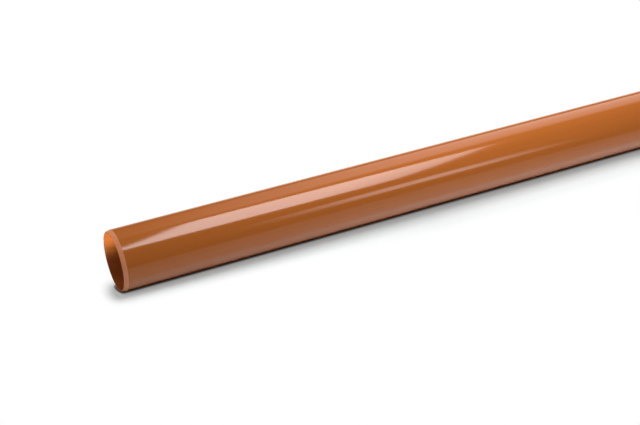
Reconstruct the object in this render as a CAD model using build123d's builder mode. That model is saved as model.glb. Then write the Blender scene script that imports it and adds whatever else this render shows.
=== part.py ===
from build123d import *
from math import pi, radians, tan
import os

# A plain-ended drain pipe in terracotta plastic, lying on its side.
# It is one extruded tube: sawn square to length, turned to a lead-in chamfer
# on the outside of both ends so that it pushes into a socket and its rubber
# seal, and deburred on the edge of the bore.
# Millimetres. The axis of the bore is X, and the origin is on it at mid-length.

# The tube, as extruded
outer_diameter = 110.0
wall = 3.2
pipe_length = 3000.0

# Each end, as sawn and turned
chamfer_angle = 15.0  # degrees, between the chamfer and the axis
tip_wall = 1.1  # wall that the chamfer leaves at the sawn end
bore_edge_break = 0.3  # deburring of the bore's edge, at 45 degrees

# Worked out from the sizes above
outer_radius = outer_diameter / 2
bore_radius = outer_radius - wall
chamfer_depth = wall - tip_wall
chamfer_length = chamfer_depth / tan(radians(chamfer_angle))


def sawn_end(pipe, side):
    """The flat ring at one end of the pipe: side 0 is at -X and side -1 at +X."""
    return pipe.faces().filter_by(Axis.X).sort_by(Axis.X)[side]


with BuildPart() as drain_pipe:
    # The die's ring, drawn off along the axis and sawn to length
    with BuildSketch(Plane.YZ):
        Circle(outer_radius)
        Circle(bore_radius, mode=Mode.SUBTRACT)
    extrude(amount=pipe_length / 2, both=True)

    for side in (0, -1):
        # The lead-in chamfer, long along the axis and shallow in the wall
        ring = sawn_end(drain_pipe, side)
        outer_edge = ring.edges().sort_by(SortBy.RADIUS)[-1]
        chamfer(outer_edge, length=chamfer_depth, length2=chamfer_length, reference=ring)

        # The bore's edge, deburred
        ring = sawn_end(drain_pipe, side)
        bore_edge = ring.edges().sort_by(SortBy.RADIUS)[0]
        chamfer(bore_edge, length=bore_edge_break)

drain_pipe.part.label = "drain_pipe"

os.makedirs("parts", exist_ok=True)
export_step(drain_pipe.part, "parts/drain_pipe.step")

ring_area = pi * (outer_radius**2 - bore_radius**2)
print("chamfer length", round(chamfer_length, 2), "mm")
print("barrel between the chamfers", round(pipe_length - 2 * chamfer_length, 2), "mm")
print("volume", round(drain_pipe.part.volume), "mm3, of a plain tube", round(ring_area * pipe_length))
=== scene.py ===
import math

import bpy
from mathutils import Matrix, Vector


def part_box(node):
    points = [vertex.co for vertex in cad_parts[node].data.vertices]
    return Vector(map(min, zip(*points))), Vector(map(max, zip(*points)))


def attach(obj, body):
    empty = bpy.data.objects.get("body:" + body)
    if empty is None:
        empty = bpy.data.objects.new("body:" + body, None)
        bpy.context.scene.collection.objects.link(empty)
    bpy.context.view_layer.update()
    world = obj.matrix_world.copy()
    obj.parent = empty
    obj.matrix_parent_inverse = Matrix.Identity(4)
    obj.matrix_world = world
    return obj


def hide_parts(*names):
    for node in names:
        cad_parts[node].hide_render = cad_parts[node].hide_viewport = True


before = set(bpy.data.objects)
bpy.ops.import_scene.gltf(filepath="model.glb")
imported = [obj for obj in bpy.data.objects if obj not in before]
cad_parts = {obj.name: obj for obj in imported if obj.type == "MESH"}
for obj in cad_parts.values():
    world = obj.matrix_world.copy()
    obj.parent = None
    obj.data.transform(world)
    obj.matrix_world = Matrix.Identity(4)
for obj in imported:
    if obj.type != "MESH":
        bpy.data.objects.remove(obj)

# A terracotta plastic drain pipe with turned plain ends, lying on a white studio floor.
# Metres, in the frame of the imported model: X along the bore, Z up, the origin at mid-length.

scene = bpy.context.scene
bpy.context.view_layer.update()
pipeLow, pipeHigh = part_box("drain_pipe")
pipeLength = pipeHigh.x - pipeLow.x
outerDiameter = pipeHigh.y - pipeLow.y
floorHeight = -outerDiameter / 2
nearMouth = Vector((pipeLow.x, 0, 0))
print(f"frame loaded: pipe {pipeLength:.3f} m long, {outerDiameter:.4f} m across")


# Camera

cameraSetup = {
    "fromMouth": (-0.5309, -1.9172, 1.4363),  # from the middle of the near mouth
    "pitch": 34.28,  # degrees below the horizon
    "yaw": 25.77,  # degrees from +Y towards +X
    "lens": 79.24,
    "sensor": 36.0,
    "farClip": 100.0,
}


def makeCamera(setup):
    pitch = math.radians(setup["pitch"])
    yaw = math.radians(setup["yaw"])
    data = bpy.data.cameras.new("camera")
    data.lens = setup["lens"]
    data.sensor_width = setup["sensor"]
    data.clip_end = setup["farClip"]
    camera = bpy.data.objects.new("camera", data)
    camera.location = nearMouth + Vector(setup["fromMouth"])
    camera.rotation_euler = (math.pi / 2 - pitch, 0, -yaw)
    scene.collection.objects.link(camera)
    scene.camera = camera


makeCamera(cameraSetup)
scene.view_settings.view_transform = "Standard"
print("camera placed")


# Helpers for node trees, shared by the materials and the pipe's own tree

treeLayout = {
    "step": (220, -200),  # to the next column, and to the next node in it
    "perColumn": 6,
    "groupOutput": 2400,
    "surface": 2600,
    "output": 2900,
}


def socketOf(sockets, key):
    if isinstance(key, int):
        return sockets[key]
    return next(s for s in sockets if s.enabled and s.name == key)


def addNode(tree, kind, feeds=None, **settings):
    # feeds go by socket name or number: another socket is linked, and a value is set
    node = tree.nodes.new(kind)
    for name, value in settings.items():
        setattr(node, name, value)
    for key, value in (feeds or {}).items():
        socket = socketOf(node.inputs, key)
        if isinstance(value, bpy.types.NodeSocket):
            tree.links.new(value, socket)
        else:
            socket.default_value = value
    across, down = treeLayout["step"]
    column, row = divmod(len(tree.nodes), treeLayout["perColumn"])
    node.location = (across * column, down * row)
    return node


def calc(tree, operation, *values):
    return addNode(tree, "ShaderNodeMath", dict(enumerate(values)), operation=operation).outputs[0]


def between(tree, factor, start, end):
    node = addNode(tree, "ShaderNodeMix", {"Factor": factor, "A": start, "B": end})
    return socketOf(node.outputs, "Result")


def mixColour(tree, factor, start, end, mode="MIX"):
    feeds = {"Factor": factor, "A": start, "B": end}
    node = addNode(tree, "ShaderNodeMix", feeds, data_type="RGBA", blend_type=mode)
    return socketOf(node.outputs, "Result")


def rescale(tree, value, low, high, toLow=0.0, toHigh=1.0, soft=False):
    feeds = {"Value": value, "From Min": low, "From Max": high, "To Min": toLow, "To Max": toHigh}
    kind = "SMOOTHSTEP" if soft else "LINEAR"
    return addNode(tree, "ShaderNodeMapRange", feeds, interpolation_type=kind).outputs["Result"]


def splitXyz(tree, vector):
    return addNode(tree, "ShaderNodeSeparateXYZ", {0: vector}).outputs


def objectPlace(tree):
    return addNode(tree, "ShaderNodeTexCoord").outputs["Object"]


def noiseOf(tree, place, waves, seed, detail=2.0, roughness=0.5):
    # waves: in a metre along X, Y and Z
    scaled = addNode(tree, "ShaderNodeVectorMath", {0: place, 1: waves}, operation="MULTIPLY")
    feeds = {
        "Vector": scaled.outputs[0], "W": seed, "Scale": 1.0,
        "Detail": detail, "Roughness": roughness,
    }
    return addNode(tree, "ShaderNodeTexNoise", feeds, noise_dimensions="4D").outputs[0]


def newGroup(name, kind, inputs, outputs):
    tree = bpy.data.node_groups.new(name, kind)
    for side, sockets in (("INPUT", inputs), ("OUTPUT", outputs)):
        for label, socketType in sockets.items():
            tree.interface.new_socket(name=label, in_out=side, socket_type="NodeSocket" + socketType)
    given = tree.nodes.new("NodeGroupInput").outputs
    result = tree.nodes.new("NodeGroupOutput")
    result.location.x = treeLayout["groupOutput"]
    return tree, given, result


def give(tree, result, **values):
    for name, value in values.items():
        tree.links.new(value, result.inputs[name])


def useGroup(tree, group, **feeds):
    prefix = "Geometry" if tree.bl_idname == "GeometryNodeTree" else "Shader"
    return addNode(tree, prefix + "NodeGroup", feeds, node_tree=group).outputs


def blankMaterial(name):
    material = bpy.data.materials.new(name)
    material.use_nodes = True
    material.node_tree.nodes.clear()
    return material, material.node_tree


# Effects that the pipe's finishes are built from

flowLook = {
    "streakWaves": (1.4, 55, 55),
    "driftWaves": (1.1, 4, 4),
    "mottleWaves": (240, 420, 420),
    "noiseRange": (0.3, 0.7),  # of each noise, spread from minus its share to its share
    "streakShare": 1.0,
    "driftShare": 0.8,
    "mottleShare": 0.4,
    "hueShare": 0.03,  # of the sway, where the value takes all of it
}


def makePigmentFlow(look):
    # the colour as it left the die: long faint streaks, slow drift along the pipe, fine mottle
    tree, given, result = newGroup(
        "pigmentFlow", "ShaderNodeTree",
        {"Place": "Vector", "Colour": "Color", "Contrast": "Float", "Seed": "Float"},
        {"Colour": "Color"},
    )
    place, seed = given["Place"], given["Seed"]
    streaks = noiseOf(tree, place, look["streakWaves"], seed, detail=4.0, roughness=0.6)
    drift = noiseOf(tree, place, look["driftWaves"], seed, detail=1.0)
    mottle = noiseOf(tree, place, look["mottleWaves"], seed, detail=3.0)

    def swing(noise, share):
        return rescale(tree, noise, *look["noiseRange"], -look[share], look[share])

    sway = calc(tree, "ADD", swing(streaks, "streakShare"), swing(drift, "driftShare"))
    sway = calc(tree, "ADD", sway, swing(mottle, "mottleShare"))
    sway = calc(tree, "MULTIPLY", sway, given["Contrast"])
    feeds = {
        "Hue": calc(tree, "MULTIPLY_ADD", sway, look["hueShare"], 0.5),
        "Value": calc(tree, "ADD", sway, 1.0),
        "Color": given["Colour"],
    }
    give(tree, result, Colour=addNode(tree, "ShaderNodeHueSaturation", feeds).outputs[0])
    return tree


streakLook = {
    "broadWaves": (0.8, 330, 330),
    "fineWaves": (3.0, 1700, 1700),
    "fineShare": 0.35,  # of the fine lines in the height
    "maskRange": (0.45, 0.75),  # of the fine lines' noise
}


def makeDieStreaks(look):
    # fine lines that the die and the sizing sleeve draw along the wall
    tree, given, result = newGroup(
        "dieStreaks", "ShaderNodeTree",
        {"Place": "Vector", "Seed": "Float"},
        {"Height": "Float", "Mask": "Float"},
    )
    place, seed = given["Place"], given["Seed"]
    broad = noiseOf(tree, place, look["broadWaves"], seed)
    fine = noiseOf(tree, place, look["fineWaves"], seed, roughness=0.6)
    height = calc(tree, "MULTIPLY_ADD", fine, look["fineShare"], broad)
    mask = rescale(tree, fine, *look["maskRange"], soft=True)
    give(tree, result, Height=height, Mask=mask)
    return tree


scuffLook = {
    "patchWaves": (3.0, 16, 16),
    "hairWaves": (34, 1300, 1300),
    "crossHairWaves": (1100, 60, 60),
    "patchRange": (0.52, 0.68),  # of each noise, from bare to marked
    "hairRange": (0.62, 0.72),
    "crossHairRange": (0.68, 0.76),
}


def makeHandlingScuffs(look):
    # sparse hair-fine rubs from stacking, gathered in a few patches
    tree, given, result = newGroup(
        "handlingScuffs", "ShaderNodeTree",
        {"Place": "Vector", "Amount": "Float", "Seed": "Float"},
        {"Mask": "Float"},
    )
    place, seed = given["Place"], given["Seed"]
    patches = noiseOf(tree, place, look["patchWaves"], seed)
    hairs = noiseOf(tree, place, look["hairWaves"], seed, detail=3.0, roughness=0.65)
    crossHairs = noiseOf(tree, place, look["crossHairWaves"], seed, detail=3.0, roughness=0.65)
    hairs = rescale(tree, hairs, *look["hairRange"])
    crossHairs = rescale(tree, crossHairs, *look["crossHairRange"])
    marks = calc(tree, "MAXIMUM", hairs, crossHairs)
    where = rescale(tree, patches, *look["patchRange"], soft=True)
    mask = calc(tree, "MULTIPLY", calc(tree, "MULTIPLY", marks, where), given["Amount"])
    give(tree, result, Mask=mask)
    return tree


cutLook = {
    "wanderWaves": (60, 60, 60),
    "wander": 0.6,  # how far the ridges stray, in ridges
    "tearWaves": (1900, 1900, 1900),
    "ridgeShare": 0.5,  # of the ridges in the mask, beside the tears
    "maskRange": (0.45, 0.95),
}


def makeCutMarks(look):
    # ridges left by a cutting edge: Run counts them, Tear roughens them
    tree, given, result = newGroup(
        "cutMarks", "ShaderNodeTree",
        {"Place": "Vector", "Run": "Float", "Tear": "Float", "Seed": "Float"},
        {"Height": "Float", "Mask": "Float"},
    )
    place, seed = given["Place"], given["Seed"]
    wander = noiseOf(tree, place, look["wanderWaves"], seed)
    wander = calc(tree, "SUBTRACT", wander, 0.5)
    run = calc(tree, "MULTIPLY_ADD", wander, look["wander"], given["Run"])
    ridge = calc(tree, "PINGPONG", run, 0.5)
    tears = noiseOf(tree, place, look["tearWaves"], seed, detail=4.0, roughness=0.7)
    height = calc(tree, "MULTIPLY_ADD", tears, given["Tear"], calc(tree, "MULTIPLY", ridge, 2.0))
    mask = calc(tree, "MULTIPLY_ADD", ridge, look["ridgeShare"], tears)
    give(tree, result, Height=height, Mask=rescale(tree, mask, *look["maskRange"]))
    return tree


pigmentFlow = makePigmentFlow(flowLook)
dieStreaks = makeDieStreaks(streakLook)
handlingScuffs = makeHandlingScuffs(scuffLook)
cutMarks = makeCutMarks(cutLook)
print("shared effects built")


# Where the tools left their marks, for the finishes and for the pipe's own relief

sawSlant = 0.35  # how far a saw line drops for each step towards +Y


def toolSpiral(tree, x, y, z, feed):
    # the passes of the turning tool, counted along the pipe and on round it
    turn = calc(tree, "DIVIDE", calc(tree, "ARCTAN2", z, y), 2 * math.pi)
    return calc(tree, "ADD", calc(tree, "DIVIDE", x, feed), turn)


def sawLines(tree, y, z, pitch):
    return calc(tree, "DIVIDE", calc(tree, "MULTIPLY_ADD", y, sawSlant, z), pitch)


# The finishes of the pipe: one plastic, four surfaces

def newFinish(name, look):
    material, tree = blankMaterial(name)
    place = objectPlace(tree)
    surface = addNode(tree, "ShaderNodeBsdfPrincipled", {"IOR": look["ior"]})
    output = addNode(tree, "ShaderNodeOutputMaterial", {"Surface": surface.outputs[0]})
    surface.location = (treeLayout["surface"], 0)
    output.location = (treeLayout["output"], 0)
    return material, tree, place, surface


def flowColour(tree, place, look):
    feeds = {"Colour": look["colour"], "Contrast": look["contrast"], "Seed": look["flowSeed"]}
    return useGroup(tree, pigmentFlow, Place=place, **feeds)["Colour"]


def dress(tree, surface, colour, roughness, height, depth):
    bump = addNode(tree, "ShaderNodeBump", {"Height": height, "Distance": depth, "Strength": 1.0})
    tree.links.new(colour, surface.inputs["Base Color"])
    tree.links.new(roughness, surface.inputs["Roughness"])
    tree.links.new(bump.outputs[0], surface.inputs["Normal"])


def dressCut(tree, place, surface, run, look):
    marks = useGroup(tree, cutMarks, Place=place, Run=run, Tear=look["tear"], Seed=look["markSeed"])
    colour = mixColour(tree, marks["Mask"], flowColour(tree, place, look), look["whitened"])
    roughness = between(tree, marks["Mask"], *look["roughness"])
    dress(tree, surface, colour, roughness, marks["Height"], look["bumpDepth"])


outerSkin = {
    "colour": (0.4, 0.112, 0.02, 1),
    "contrast": 0.018,
    "ior": 1.53,
    "gloss": 0.11,  # roughness of the skin between marks
    "streakGloss": 0.14,
    "scuffGloss": 0.34,
    "scuffAmount": 0.35,
    "scuffColour": (0.47, 0.19, 0.08, 1),
    "scuffShare": 0.5,  # of the scuffs' mask in the colour and the height
    "bumpDepth": 0.000004,
    "flowSeed": 1.37,
    "streakSeed": 2.37,
    "scuffSeed": 3.37,
}


def makeOuterSkin(look):
    material, tree, place, surface = newFinish("outerSkin", look)
    colour = flowColour(tree, place, look)
    streaks = useGroup(tree, dieStreaks, Place=place, Seed=look["streakSeed"])
    feeds = {"Amount": look["scuffAmount"], "Seed": look["scuffSeed"]}
    scuffs = useGroup(tree, handlingScuffs, Place=place, **feeds)["Mask"]
    faintScuffs = calc(tree, "MULTIPLY", scuffs, look["scuffShare"])
    colour = mixColour(tree, faintScuffs, colour, look["scuffColour"])
    gloss = between(tree, streaks["Mask"], look["gloss"], look["streakGloss"])
    gloss = between(tree, scuffs, gloss, look["scuffGloss"])
    height = calc(tree, "SUBTRACT", streaks["Height"], faintScuffs)
    dress(tree, surface, colour, gloss, height, look["bumpDepth"])
    return material


boreSkin = {
    "colour": (0.41, 0.112, 0.023, 1),
    "contrast": 0.03,
    "ior": 1.53,
    "gloss": 0.2,
    "streakGloss": 0.28,
    "bumpDepth": 0.00001,
    "flowSeed": 11.37,
    "streakSeed": 12.37,
}


def makeBoreSkin(look):
    material, tree, place, surface = newFinish("boreSkin", look)
    colour = flowColour(tree, place, look)
    streaks = useGroup(tree, dieStreaks, Place=place, Seed=look["streakSeed"])
    gloss = between(tree, streaks["Mask"], look["gloss"], look["streakGloss"])
    dress(tree, surface, colour, gloss, streaks["Height"], look["bumpDepth"])
    return material


turnedChamfer = {
    "colour": (0.59, 0.198, 0.08, 1),
    "whitened": (0.69, 0.3, 0.16, 1),  # where the tool has torn the plastic
    "contrast": 0.02,
    "ior": 1.53,
    "roughness": (0.5, 0.66),
    "feed": 0.0004,  # travel of the tool in one turn
    "tear": 0.35,
    "bumpDepth": 0.00002,
    "markSeed": 21.37,
    "flowSeed": 22.37,
}


def makeTurnedChamfer(look):
    material, tree, place, surface = newFinish("turnedChamfer", look)
    run = toolSpiral(tree, *splitXyz(tree, place), look["feed"])
    dressCut(tree, place, surface, run, look)
    return material


sawnFace = {
    "colour": (0.5, 0.19, 0.08, 1),
    "whitened": (0.64, 0.32, 0.18, 1),
    "contrast": 0.02,
    "ior": 1.53,
    "roughness": (0.58, 0.72),
    "pitch": 0.0011,  # between the scratches of the saw's teeth
    "tear": 0.6,
    "bumpDepth": 0.00004,
    "markSeed": 31.37,
    "flowSeed": 32.37,
}


def makeSawnFace(look):
    material, tree, place, surface = newFinish("sawnFace", look)
    run = sawLines(tree, *splitXyz(tree, place)[1:], look["pitch"])
    dressCut(tree, place, surface, run, look)
    return material


# in the order of the finish numbers in the pipe's tree
finishNames = ("skin", "chamfer", "face", "bore")
finishes = (
    makeOuterSkin(outerSkin),
    makeTurnedChamfer(turnedChamfer),
    makeSawnFace(sawnFace),
    makeBoreSkin(boreSkin),
)
print("finishes built:", ", ".join(f.name for f in finishes))


# The pipe, as one surface turned round the X axis band by band

extrudedPipe = {
    "Outer Diameter": outerDiameter,
    "Length": pipeLength,
    "Wall": 0.0032,
    "Chamfer Angle": math.radians(15),  # between the chamfer and the axis
    "Tip Wall": 0.0011,  # wall that the chamfer leaves at the sawn face
    "Bore Edge": 0.0003,
    "Arris": 0.00012,  # blunt corner between the chamfer and the sawn face
    "Around": 360,
    "Barrel Rows": 80,
    "Bore Rows": 40,
    "Collar": 0.004,  # over which the relief of a wall dies out towards its end
    "Fade": 0.0001,  # and that of the face and the chamfer towards their corners
    "Skin Relief": 0.00005,
    "Chamfer Relief": 0.000015,
    "Face Relief": 0.00002,
    "Bore Relief": 0.00012,
    "Tool Feed": 0.0008,  # of the coarser ridges, which the rows can carry
    "Saw Pitch": 0.0036,
    "Seed": 7.37,
}
sharpAngle = math.radians(10)  # edges that bend more stay sharp
mergeGap = 0.000005  # joins the rims of the bands


def storeAttribute(tree, geometry, name, value, dataType, domain):
    feeds = {"Geometry": geometry, "Name": name, "Value": value}
    kind = "GeometryNodeStoreNamedAttribute"
    return addNode(tree, kind, feeds, data_type=dataType, domain=domain).outputs[0]


def readAttribute(tree, name, dataType):
    node = addNode(tree, "GeometryNodeInputNamedAttribute", {"Name": name}, data_type=dataType)
    return socketOf(node.outputs, "Attribute")


def isNumber(tree, value, number):
    feeds = {"A": value, "B": float(number), "Epsilon": 0.1}
    node = addNode(tree, "FunctionNodeCompare", feeds, data_type="FLOAT", operation="EQUAL")
    return socketOf(node.outputs, "Result")


def joinAll(tree, parts):
    node = addNode(tree, "GeometryNodeJoinGeometry")
    for part in parts:
        tree.links.new(part, node.inputs[0])
    return node.outputs[0]


def makeRingBand():
    # the surface between two stations on the profile, walked with the solid on the right
    tree, given, result = newGroup(
        "ringBand", "GeometryNodeTree",
        {
            "Start X": "Float", "Start Radius": "Float", "Start Relief": "Float",
            "End X": "Float", "End Radius": "Float", "End Relief": "Float",
            "Rows": "Int", "Around": "Int", "Finish": "Int",
        },
        {"Band": "Geometry"},
    )
    sheet = addNode(tree, "GeometryNodeMeshGrid", {
        "Size X": 1.0,
        "Size Y": 1.0,
        "Vertices X": calc(tree, "ADD", given["Rows"], 1.0),
        "Vertices Y": calc(tree, "ADD", given["Around"], 1.0),
    }).outputs["Mesh"]
    place = splitXyz(tree, addNode(tree, "GeometryNodeInputPosition").outputs[0])
    walked = calc(tree, "ADD", place["X"], 0.5)
    turn = calc(tree, "MULTIPLY", calc(tree, "ADD", place["Y"], 0.5), 2 * math.pi)
    relief = between(tree, walked, given["Start Relief"], given["End Relief"])
    sheet = storeAttribute(tree, sheet, "relief", relief, "FLOAT", "POINT")
    sheet = storeAttribute(tree, sheet, "finish", given["Finish"], "INT", "FACE")
    radius = between(tree, walked, given["Start Radius"], given["End Radius"])
    minusRadius = calc(tree, "MULTIPLY", radius, -1.0)
    # the turn starts at the pipe's lowest line
    point = addNode(tree, "ShaderNodeCombineXYZ", {
        "X": between(tree, walked, given["Start X"], given["End X"]),
        "Y": calc(tree, "MULTIPLY", minusRadius, calc(tree, "SINE", turn)),
        "Z": calc(tree, "MULTIPLY", minusRadius, calc(tree, "COSINE", turn)),
    })
    feeds = {"Geometry": sheet, "Position": point.outputs[0]}
    give(tree, result, Band=addNode(tree, "GeometryNodeSetPosition", feeds).outputs[0])
    return tree


def makePipeEnd(ringBand):
    # one finished end, walked from inside the bore round to the barrel; Side is -1 or 1
    tree, given, result = newGroup(
        "pipeEnd", "GeometryNodeTree",
        {
            "Side": "Float", "Half Length": "Float", "Outer Radius": "Float", "Bore Radius": "Float",
            "Chamfer Length": "Float", "Tip Radius": "Float", "Bore Edge": "Float", "Arris": "Float",
            "Around": "Int", "Fade": "Float", "Collar": "Float",
        },
        {"End": "Geometry"},
    )
    fade, edge, arris = given["Fade"], given["Bore Edge"], given["Arris"]
    boreRadius, outerRim, tipRadius = given["Bore Radius"], given["Outer Radius"], given["Tip Radius"]
    chamferLength = given["Chamfer Length"]
    faceInner = calc(tree, "ADD", boreRadius, edge)
    faceOuter = calc(tree, "SUBTRACT", tipRadius, arris)
    rise = calc(tree, "DIVIDE", calc(tree, "SUBTRACT", outerRim, tipRadius), chamferLength)
    shoulder = calc(tree, "ADD", arris, fade)
    beforeHeel = calc(tree, "SUBTRACT", chamferLength, fade)

    def onChamfer(depth):
        return calc(tree, "MULTIPLY_ADD", depth, rise, tipRadius)

    # depth in from the sawn face, radius, share of the relief
    stations = [
        (calc(tree, "ADD", edge, given["Collar"]), boreRadius, 1.0),
        (edge, boreRadius, 0.0),
        (0.0, faceInner, 0.0),
        (0.0, calc(tree, "ADD", faceInner, fade), 1.0),
        (0.0, calc(tree, "SUBTRACT", faceOuter, fade), 1.0),
        (0.0, faceOuter, 0.0),
        (arris, onChamfer(arris), 0.0),
        (shoulder, onChamfer(shoulder), 1.0),
        (beforeHeel, onChamfer(beforeHeel), 1.0),
        (chamferLength, outerRim, 0.0),
        (calc(tree, "ADD", chamferLength, given["Collar"]), outerRim, 1.0),
    ]
    # finish and rows of the band from each station to the next
    bands = [
        ("bore", 3), ("face", 2), ("face", 1), ("face", 3), ("face", 1),
        ("chamfer", 1), ("chamfer", 1), ("chamfer", 36), ("chamfer", 1), ("skin", 3),
    ]

    def along(depth):
        return calc(tree, "MULTIPLY", calc(tree, "SUBTRACT", given["Half Length"], depth), given["Side"])

    parts = []
    for (finish, rows), start, end in zip(bands, stations, stations[1:]):
        feeds = {
            "Start X": along(start[0]), "Start Radius": start[1], "Start Relief": start[2],
            "End X": along(end[0]), "End Radius": end[1], "End Relief": end[2],
            "Rows": rows, "Around": given["Around"], "Finish": finishNames.index(finish),
        }
        parts.append(useGroup(tree, ringBand, **feeds)["Band"])
    give(tree, result, End=joinAll(tree, parts))
    return tree


wallRelief = {
    "dieLineWaves": (1.1, 240, 240),
    "outOfRoundWaves": (0.9, 26, 26),
    "haulOffWaves": (4.5, 3, 3),
    "boreWaves": (3.5, 30, 30),
    "dieLineShare": 0.12,  # the skin's three shares make 1
    "outOfRoundShare": 0.6,
    "haulOffShare": 0.28,
}


def makeReliefs(tree, place, given, look):
    # how far each finish lies below its true surface, in the order of the finish numbers
    x, y, z = splitXyz(tree, place)
    seed = given["Seed"]
    dieLines = noiseOf(tree, place, look["dieLineWaves"], seed, detail=1.0)
    outOfRound = noiseOf(tree, place, look["outOfRoundWaves"], seed, detail=1.0)
    haulOff = noiseOf(tree, place, look["haulOffWaves"], seed, detail=1.0)
    skin = calc(tree, "MULTIPLY", dieLines, look["dieLineShare"])
    skin = calc(tree, "MULTIPLY_ADD", outOfRound, look["outOfRoundShare"], skin)
    skin = calc(tree, "MULTIPLY_ADD", haulOff, look["haulOffShare"], skin)

    def ridges(run):
        return calc(tree, "MULTIPLY", calc(tree, "PINGPONG", run, 0.5), 2.0)

    chamfer = ridges(toolSpiral(tree, x, y, z, given["Tool Feed"]))
    face = ridges(sawLines(tree, y, z, given["Saw Pitch"]))
    bore = noiseOf(tree, place, look["boreWaves"], seed)
    return [
        calc(tree, "MULTIPLY", skin, given["Skin Relief"]),
        calc(tree, "MULTIPLY", chamfer, given["Chamfer Relief"]),
        calc(tree, "MULTIPLY", face, given["Face Relief"]),
        calc(tree, "MULTIPLY", bore, given["Bore Relief"]),
    ]


def makePipeTree(sizes, ringBand, pipeEnd):
    kinds = {name: "Int" if isinstance(value, int) else "Float" for name, value in sizes.items()}
    tree, given, result = newGroup(
        "extrudedPipe", "GeometryNodeTree", {"Geometry": "Geometry", **kinds}, {"Geometry": "Geometry"},
    )
    outerRim = calc(tree, "MULTIPLY", given["Outer Diameter"], 0.5)
    boreRadius = calc(tree, "SUBTRACT", outerRim, given["Wall"])
    half = calc(tree, "MULTIPLY", given["Length"], 0.5)
    chamferDepth = calc(tree, "SUBTRACT", given["Wall"], given["Tip Wall"])
    chamferLength = calc(tree, "DIVIDE", chamferDepth, calc(tree, "TANGENT", given["Chamfer Angle"]))
    endFeeds = {
        "Half Length": half, "Outer Radius": outerRim, "Bore Radius": boreRadius,
        "Chamfer Length": chamferLength, "Tip Radius": calc(tree, "ADD", boreRadius, given["Tip Wall"]),
        "Bore Edge": given["Bore Edge"], "Arris": given["Arris"], "Around": given["Around"],
        "Fade": given["Fade"], "Collar": given["Collar"],
    }
    nearEnd = useGroup(tree, pipeEnd, Side=-1.0, **endFeeds)["End"]
    farEnd = useGroup(tree, pipeEnd, Side=1.0, **endFeeds)["End"]
    farEnd = addNode(tree, "GeometryNodeFlipFaces", {"Mesh": farEnd}).outputs[0]
    barrelInset = calc(tree, "ADD", chamferLength, given["Collar"])
    boreInset = calc(tree, "ADD", given["Bore Edge"], given["Collar"])
    parts = [nearEnd, farEnd]
    for finish, inset, radius, rows in (("skin", barrelInset, outerRim, "Barrel Rows"),
                                        ("bore", boreInset, boreRadius, "Bore Rows")):
        high = calc(tree, "SUBTRACT", half, inset)
        low = calc(tree, "MULTIPLY", high, -1.0)
        start, end = (low, high) if finish == "skin" else (high, low)
        feeds = {
            "Start X": start, "Start Radius": radius, "Start Relief": 1.0,
            "End X": end, "End Radius": radius, "End Relief": 1.0,
            "Rows": given[rows], "Around": given["Around"], "Finish": finishNames.index(finish),
        }
        parts.append(useGroup(tree, ringBand, **feeds)["Band"])
    feeds = {"Geometry": joinAll(tree, parts), "Distance": mergeGap}
    shell = addNode(tree, "GeometryNodeMergeByDistance", feeds).outputs[0]

    # sink the relief into the wall
    place = addNode(tree, "GeometryNodeInputPosition").outputs[0]
    reliefs = makeReliefs(tree, place, given, wallRelief)
    finish = readAttribute(tree, "finish", "INT")
    share = readAttribute(tree, "relief", "FLOAT")
    isFinish = [isNumber(tree, finish, number) for number in range(len(finishNames))]
    depth = calc(tree, "MULTIPLY", isFinish[0], reliefs[0])
    for chosen, relief in list(zip(isFinish, reliefs))[1:]:
        depth = calc(tree, "MULTIPLY_ADD", chosen, relief, depth)
    depth = calc(tree, "MULTIPLY", calc(tree, "MULTIPLY", depth, share), -1.0)
    normal = addNode(tree, "GeometryNodeInputNormal").outputs[0]
    sink = addNode(tree, "ShaderNodeVectorMath", {0: normal, "Scale": depth}, operation="SCALE")
    feeds = {"Geometry": shell, "Offset": sink.outputs[0]}
    shell = addNode(tree, "GeometryNodeSetPosition", feeds).outputs[0]

    # smooth, apart from the corners of the ends
    feeds = {"Geometry": shell, "Shade Smooth": True}
    shell = addNode(tree, "GeometryNodeSetShadeSmooth", feeds, domain="FACE").outputs[0]
    angle = addNode(tree, "GeometryNodeInputMeshEdgeAngle").outputs["Unsigned Angle"]
    corner = calc(tree, "GREATER_THAN", angle, sharpAngle)
    feeds = {"Geometry": shell, "Selection": corner, "Shade Smooth": False}
    shell = addNode(tree, "GeometryNodeSetShadeSmooth", feeds, domain="EDGE").outputs[0]
    shell = addNode(tree, "GeometryNodeRealizeInstances", {"Geometry": shell}).outputs[0]
    # the skin goes on everywhere, and the other finishes over it
    for chosen, material in zip((True, *isFinish[1:]), finishes):
        feeds = {"Geometry": shell, "Selection": chosen, "Material": material}
        shell = addNode(tree, "GeometryNodeSetMaterial", feeds).outputs[0]
    give(tree, result, Geometry=shell)
    return tree


def makePipe(sizes):
    ringBand = makeRingBand()
    tree = makePipeTree(sizes, ringBand, makePipeEnd(ringBand))
    pipe = bpy.data.objects.new("extruded_pipe", bpy.data.meshes.new("extruded_pipe"))
    scene.collection.objects.link(pipe)
    modifier = pipe.modifiers.new("pipe", "NODES")
    modifier.node_group = tree
    for socket in tree.interface.items_tree:
        if socket.in_out == "INPUT" and socket.name in sizes:
            modifier[socket.identifier] = sizes[socket.name]
    bpy.context.view_layer.update()
    evaluated = pipe.evaluated_get(bpy.context.evaluated_depsgraph_get())
    mesh = bpy.data.meshes.new_from_object(evaluated)
    pipe.modifiers.remove(modifier)
    mesh.materials.pop(index=0)  # the empty slot that the grids bring
    for name in ("finish", "relief"):
        mesh.attributes.remove(mesh.attributes[name])
    pipe.data = mesh
    return pipe


pipe = makePipe(extrudedPipe)
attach(pipe, "root")
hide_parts("drain_pipe")
print("pipe made:", sum(len(p.vertices) - 2 for p in pipe.data.polygons), "triangles")
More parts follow.
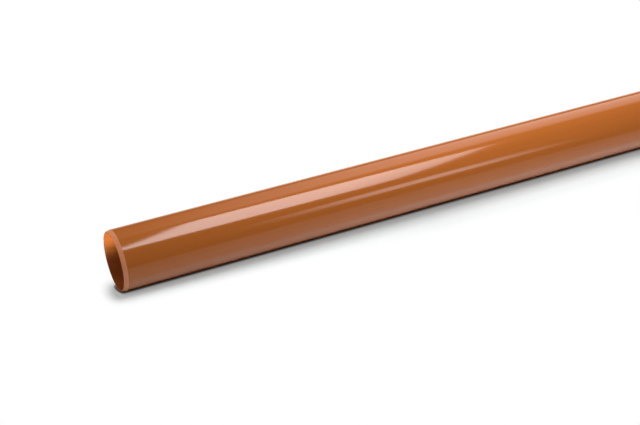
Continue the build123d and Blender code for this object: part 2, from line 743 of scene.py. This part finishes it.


# Floor: white away from the pipe, with the pipe's soft shadow on it, rendered by the lamps and, near the
# pipe, partly painted into the floor's colour

# a reach is two distances from the shadow's line, between which one look turns into another
studioFloor = {
    "halfSize": 40.0,
    "shadowLine": 0.017,  # in front of the axis; the shadow lies on both sides of it
    "endSqueeze": 1.5,  # how much shorter a reach is beyond the pipe's ends
    "colour": (0.85, 0.85, 0.85, 1),
    "paintedCloseShade": (0.1, 0.1, 0.1, 1),  # painted shade close to the pipe, so that the floor throws less light back on it
    "closeReach": (0.02, 0.06),
    "paintedGlossLevel": (1.25, 0.63),  # painted brightness of the floor in the pipe's reflections, beside it and further off
    "glossReach": (0.053, 0.233),
    "paintedWarmBounce": (1.13, 0.82, 0.66, 1),  # painted warm bounce light in those reflections, away from the pipe
    "warmReach": (0.045, 0.095),
    "paintedContactShadow": (0, 0, 0, 1),  # painted shadow in those reflections, at the dark line under the pipe
    "contactReach": (0.012, 0.027),
    # the rest is painted shade and light for the camera alone
    "run": 0.6,  # along the pipe from the near mouth, while the painted shadow changes
    # painted depth of the shadow: the floor's colour near the mouth and at the end of the run
    "nearPaintedShade": (0.9, 1.0, 1.0, 1),
    "farPaintedShade": (0.55, 0.6, 0.605, 1),
    "bounceTint": (1.0, 1.15, 1.18, 1),  # painted cool tint against the pipe's orange bounce, beside it
    "bounceReach": (0.042, 0.015),
    "bounceInset": (0.0, -0.02),  # where it sets in, inwards from the pipe's ends
    "paintedMouthShade": (0.62, 0.62, 0.63, 1),  # painted shadow just in front of the pipe's ends
    "mouthReach": (0.032, 0.012),
    "mouthStart": (-0.004, 0.004),  # where it sets in, outwards from the pipe's ends
    "mouthEnd": (0.02, 0.009),  # and where it has died out, and starts to
    "nearReach": (0.012, 0.052),  # where the shadow is painted over and the floor turns to plain white
    "farReach": (0.05, 0.09),
    "glow": 0.27,  # painted light that lifts the shadow beyond its dark core
    # painted contact shadow along the pipe's foot
    "paintedCoreShadow": (0.3, 0.235, 0.21, 1),
    "coreReach": (0.021, 0.029),  # in front of the axis, and a share of it behind
    "coreBehind": 0.4,
    "coreInset": 0.008,  # how far inside the pipe's ends it starts to round off
    "coreSqueeze": 2.1,  # how much shorter its reach is from there on
}


def lengthOf(tree, x, y):
    vector = addNode(tree, "ShaderNodeCombineXYZ", {"X": x, "Y": y}).outputs[0]
    return addNode(tree, "ShaderNodeVectorMath", {0: vector}, operation="LENGTH").outputs["Value"]


def makeSheet(name, halfX, halfY, material):
    mesh = bpy.data.meshes.new(name)
    corners = [(-halfX, -halfY, 0), (halfX, -halfY, 0), (halfX, halfY, 0), (-halfX, halfY, 0)]
    mesh.from_pydata(corners, [], [(0, 1, 2, 3)])
    mesh.materials.append(material)
    sheet = bpy.data.objects.new(name, mesh)
    scene.collection.objects.link(sheet)
    return sheet


def makeFloor(look):
    material, tree = blankMaterial("studioFloor")
    lightPath = addNode(tree, "ShaderNodeLightPath").outputs
    seen = lightPath["Is Camera Ray"]
    x, y = splitXyz(tree, objectPlace(tree))[:2]
    along = rescale(tree, x, pipeLow.x, pipeLow.x + look["run"])
    pastEnd = calc(tree, "SUBTRACT", calc(tree, "ABSOLUTE", x), pipeLength / 2)
    beyond = calc(tree, "MULTIPLY", calc(tree, "MAXIMUM", pastEnd, 0.0), look["endSqueeze"])
    away = lengthOf(tree, beyond, calc(tree, "ADD", y, look["shadowLine"]))

    def over(reach, soft=False):
        return rescale(tree, away, *look[reach], soft=soft)

    def overEnd(reach):
        return rescale(tree, pastEnd, *look[reach])

    # what throws light back on the pipe, with painted shade close to it, and the painted floor that
    # shows in its gloss
    thrown = mixColour(tree, over("closeReach", soft=True), look["paintedCloseShade"], look["colour"])
    paintedInGloss = rescale(tree, away, *look["glossReach"], *look["paintedGlossLevel"])
    paintedInGloss = mixColour(tree, over("warmReach"), paintedInGloss, look["paintedWarmBounce"], "MULTIPLY")
    paintedInGloss = mixColour(tree, over("contactReach", soft=True), look["paintedContactShadow"], paintedInGloss)

    # what the camera sees: a painted dark shadow core by the pipe, the shadow lifted by painted light,
    # then plain white
    # painted shade: the shadow deepens from the near mouth along the run
    seenColour = mixColour(tree, along, look["nearPaintedShade"], look["farPaintedShade"])
    # painted cool tint beside the pipe, against its orange bounce
    beside = calc(tree, "MULTIPLY", overEnd("bounceInset"), over("bounceReach"))
    seenColour = mixColour(tree, beside, seenColour, look["bounceTint"], "MULTIPLY")
    # painted shadow in front of the pipe's ends
    before = calc(tree, "MULTIPLY", overEnd("mouthStart"), overEnd("mouthEnd"))
    before = calc(tree, "MULTIPLY", before, over("mouthReach"))
    seenColour = mixColour(tree, before, seenColour, look["paintedMouthShade"], "MULTIPLY")
    # painted contact shadow: a dark core along the pipe's foot, rounded off beyond its ends
    inFront = calc(tree, "MULTIPLY", y, -1.0)
    aside = calc(tree, "MAXIMUM", inFront, calc(tree, "DIVIDE", y, look["coreBehind"]))
    beyond = calc(tree, "MAXIMUM", calc(tree, "ADD", pastEnd, look["coreInset"]), 0.0)
    fromAxis = lengthOf(tree, calc(tree, "MULTIPLY", beyond, look["coreSqueeze"]), aside)
    outOfCore = rescale(tree, fromAxis, *look["coreReach"], soft=True)
    seenColour = mixColour(tree, outOfCore, look["paintedCoreShadow"], seenColour)
    # painted: between these reaches the shadow's outer part is covered with plain white
    reach = [between(tree, along, *pair) for pair in zip(look["nearReach"], look["farReach"])]
    plain = calc(tree, "MULTIPLY", rescale(tree, away, *reach, soft=True), seen)
    # painted light that lifts the shadow, for the camera alone
    glow = calc(tree, "MULTIPLY", calc(tree, "MULTIPLY", outOfCore, look["glow"]), seen)

    colour = mixColour(tree, lightPath["Is Glossy Ray"], thrown, paintedInGloss)
    colour = mixColour(tree, seen, colour, seenColour)
    paint = addNode(tree, "ShaderNodeBsdfDiffuse", {"Color": colour}).outputs[0]
    lift = addNode(tree, "ShaderNodeEmission", {"Strength": glow}).outputs[0]
    paint = addNode(tree, "ShaderNodeAddShader", {0: paint, 1: lift}).outputs[0]
    white = addNode(tree, "ShaderNodeEmission", {"Color": (1, 1, 1, 1), "Strength": 1.0}).outputs[0]
    mixed = addNode(tree, "ShaderNodeMixShader", {0: plain, 1: paint, 2: white}).outputs[0]
    addNode(tree, "ShaderNodeOutputMaterial", {"Surface": mixed})
    material.cycles.emission_sampling = "NONE"  # its painted glow lights nothing
    floor = makeSheet("studio_floor", look["halfSize"], look["halfSize"], material)
    floor.location.z = floorHeight


makeFloor(studioFloor)
print("floor laid")


# Light: soft lamps, and the cards and dark room that the gloss shows

softLamps = {
    "key_lamp": {
        "size": (0.93, 0.92), "centre": (-0.7, -0.2, 1.2), "aim": (-0.7, -0.2, 0.0),
        "brightness": 6.0, "spread": 180.0,
    },
    "far_lamp": {
        "size": (1.2, 0.9), "centre": (1.1, -0.2, 1.2), "aim": (1.1, -0.2, 0.0),
        "brightness": 2.6, "spread": 180.0,
    },
    "rear_lamp": {
        "size": (3.0, 2.4), "centre": (-0.6, 1.5, 1.7), "aim": (-0.6, 0.0, 1.7),
        "brightness": 1.95, "spread": 180.0,
    },
    "left_lamp": {
        "size": (1.4, 1.4), "centre": (-3.3, -0.7, 1.1), "aim": (-1.5, 0.0, 0.0),
        "brightness": 1.1, "spread": 180.0,
    },
    "mouth_beam": {
        "size": (0.03, 0.075), "centre": (-1.697, -0.299, 0.01), "aim": (-1.497, 0.047, 0.03),
        "brightness": 2.8, "spread": 8.0,
    },
}


def makeLamp(name, lamp):
    # brightness: of the lamp's own surface, so that a larger one also gives more light
    wide, deep = lamp["size"]
    data = bpy.data.lights.new(name, "AREA")
    data.shape = "RECTANGLE"
    data.size, data.size_y = wide, deep
    data.energy = lamp["brightness"] * wide * deep * math.pi
    data.spread = math.radians(lamp["spread"])
    light = bpy.data.objects.new(name, data)
    light.location = lamp["centre"]
    aim = Vector(lamp["aim"]) - Vector(lamp["centre"])
    light.rotation_euler = aim.to_track_quat("-Z", "Y").to_euler()
    light.visible_camera = False
    light.visible_glossy = False
    scene.collection.objects.link(light)


def onlyInGloss(obj):
    obj.visible_camera = False
    obj.visible_diffuse = False
    obj.visible_transmission = False
    obj.visible_volume_scatter = False
    obj.visible_shadow = False
    # reflected rays find it by themselves, so no light sample is spent on it
    obj.active_material.cycles.emission_sampling = "NONE"


# fades: at low X, high X, low Y and high Y of a card, as shares of its width and height
glossCards = {
    "softbox": {
        "centre": (-0.7, -0.205, 1.2), "size": (0.97, 0.91), "turn": -14.5, "tilt": 180.0,
        "brightness": 6.8, "dimming": 0.45, "fades": (0.04, 0.04, 0.04, 0.04),
    },
    "rear_panel": {
        "centre": (1.0, 1.5, 2.3), "size": (4.6, 4.0), "turn": 0.0, "tilt": 90.0,
        "brightness": 1.36, "dimming": 0.0, "fades": (0.38, 0.05, 0.03, 0.55),
    },
    "front_strip": {
        "centre": (0.38, -2.5, 1.43), "size": (1.6, 0.95), "turn": 0.0, "tilt": -90.0,
        "brightness": 3.6, "dimming": 0.0, "fades": (0.5, 0.4, 0.2, 0.2),
    },
}
dimmingReach = (0.1, 0.6)  # from a card's middle towards high X, as shares of its width


def makeCard(name, card):
    wide, high = card["size"]
    material, tree = blankMaterial(name)
    x, y = splitXyz(tree, objectPlace(tree))[:2]
    u = calc(tree, "DIVIDE", x, wide)
    v = calc(tree, "DIVIDE", y, high)
    left, right, bottom, top = card["fades"]
    edges = ((u, -0.5, left), (u, 0.5, -right), (v, -0.5, bottom), (v, 0.5, -top))
    shares = [rescale(tree, place, edge, edge + fade, soft=True) for place, edge, fade in edges]
    shares.append(rescale(tree, u, *dimmingReach, 1.0, 1.0 - card["dimming"]))
    glow = shares[0]
    for share in (*shares[1:], card["brightness"]):
        glow = calc(tree, "MULTIPLY", glow, share)
    emission = addNode(tree, "ShaderNodeEmission", {"Strength": glow})
    addNode(tree, "ShaderNodeOutputMaterial", {"Surface": emission.outputs[0]})
    sheet = makeSheet(name, wide / 2, high / 2, material)
    sheet.location = card["centre"]
    sheet.rotation_euler = (math.radians(card["tilt"]), 0, math.radians(card["turn"]))
    onlyInGloss(sheet)


darkRoom = {"radius": 7.0, "segments": 48, "rings": 24, "brightness": 0.02}


def makeDarkRoom(look):
    material, tree = blankMaterial("darkRoom")
    emission = addNode(tree, "ShaderNodeEmission", {"Strength": look["brightness"]})
    addNode(tree, "ShaderNodeOutputMaterial", {"Surface": emission.outputs[0]})
    bpy.ops.mesh.primitive_uv_sphere_add(
        segments=look["segments"], ring_count=look["rings"], radius=look["radius"],
    )
    room = bpy.context.object
    room.name = "dark_room"
    room.data.materials.append(material)
    onlyInGloss(room)


worldLight = {"ambient": 0.15, "background": 1.0}


def makeWorld(look):
    world = bpy.data.worlds.new("studioWorld")
    world.use_nodes = True
    tree = world.node_tree
    tree.nodes.clear()
    lightPath = addNode(tree, "ShaderNodeLightPath").outputs
    seen = calc(tree, "MAXIMUM", lightPath["Is Camera Ray"], lightPath["Is Glossy Ray"])
    seen = calc(tree, "MAXIMUM", seen, lightPath["Is Transmission Ray"])
    strength = between(tree, seen, look["ambient"], look["background"])
    sky = addNode(tree, "ShaderNodeBackground", {"Color": (1, 1, 1, 1), "Strength": strength})
    addNode(tree, "ShaderNodeOutputWorld", {"Surface": sky.outputs[0]})
    scene.world = world


for lampName, lamp in softLamps.items():
    makeLamp(lampName, lamp)
for cardName, card in glossCards.items():
    makeCard(cardName, card)
makeDarkRoom(darkRoom)
makeWorld(worldLight)
print("lights set")
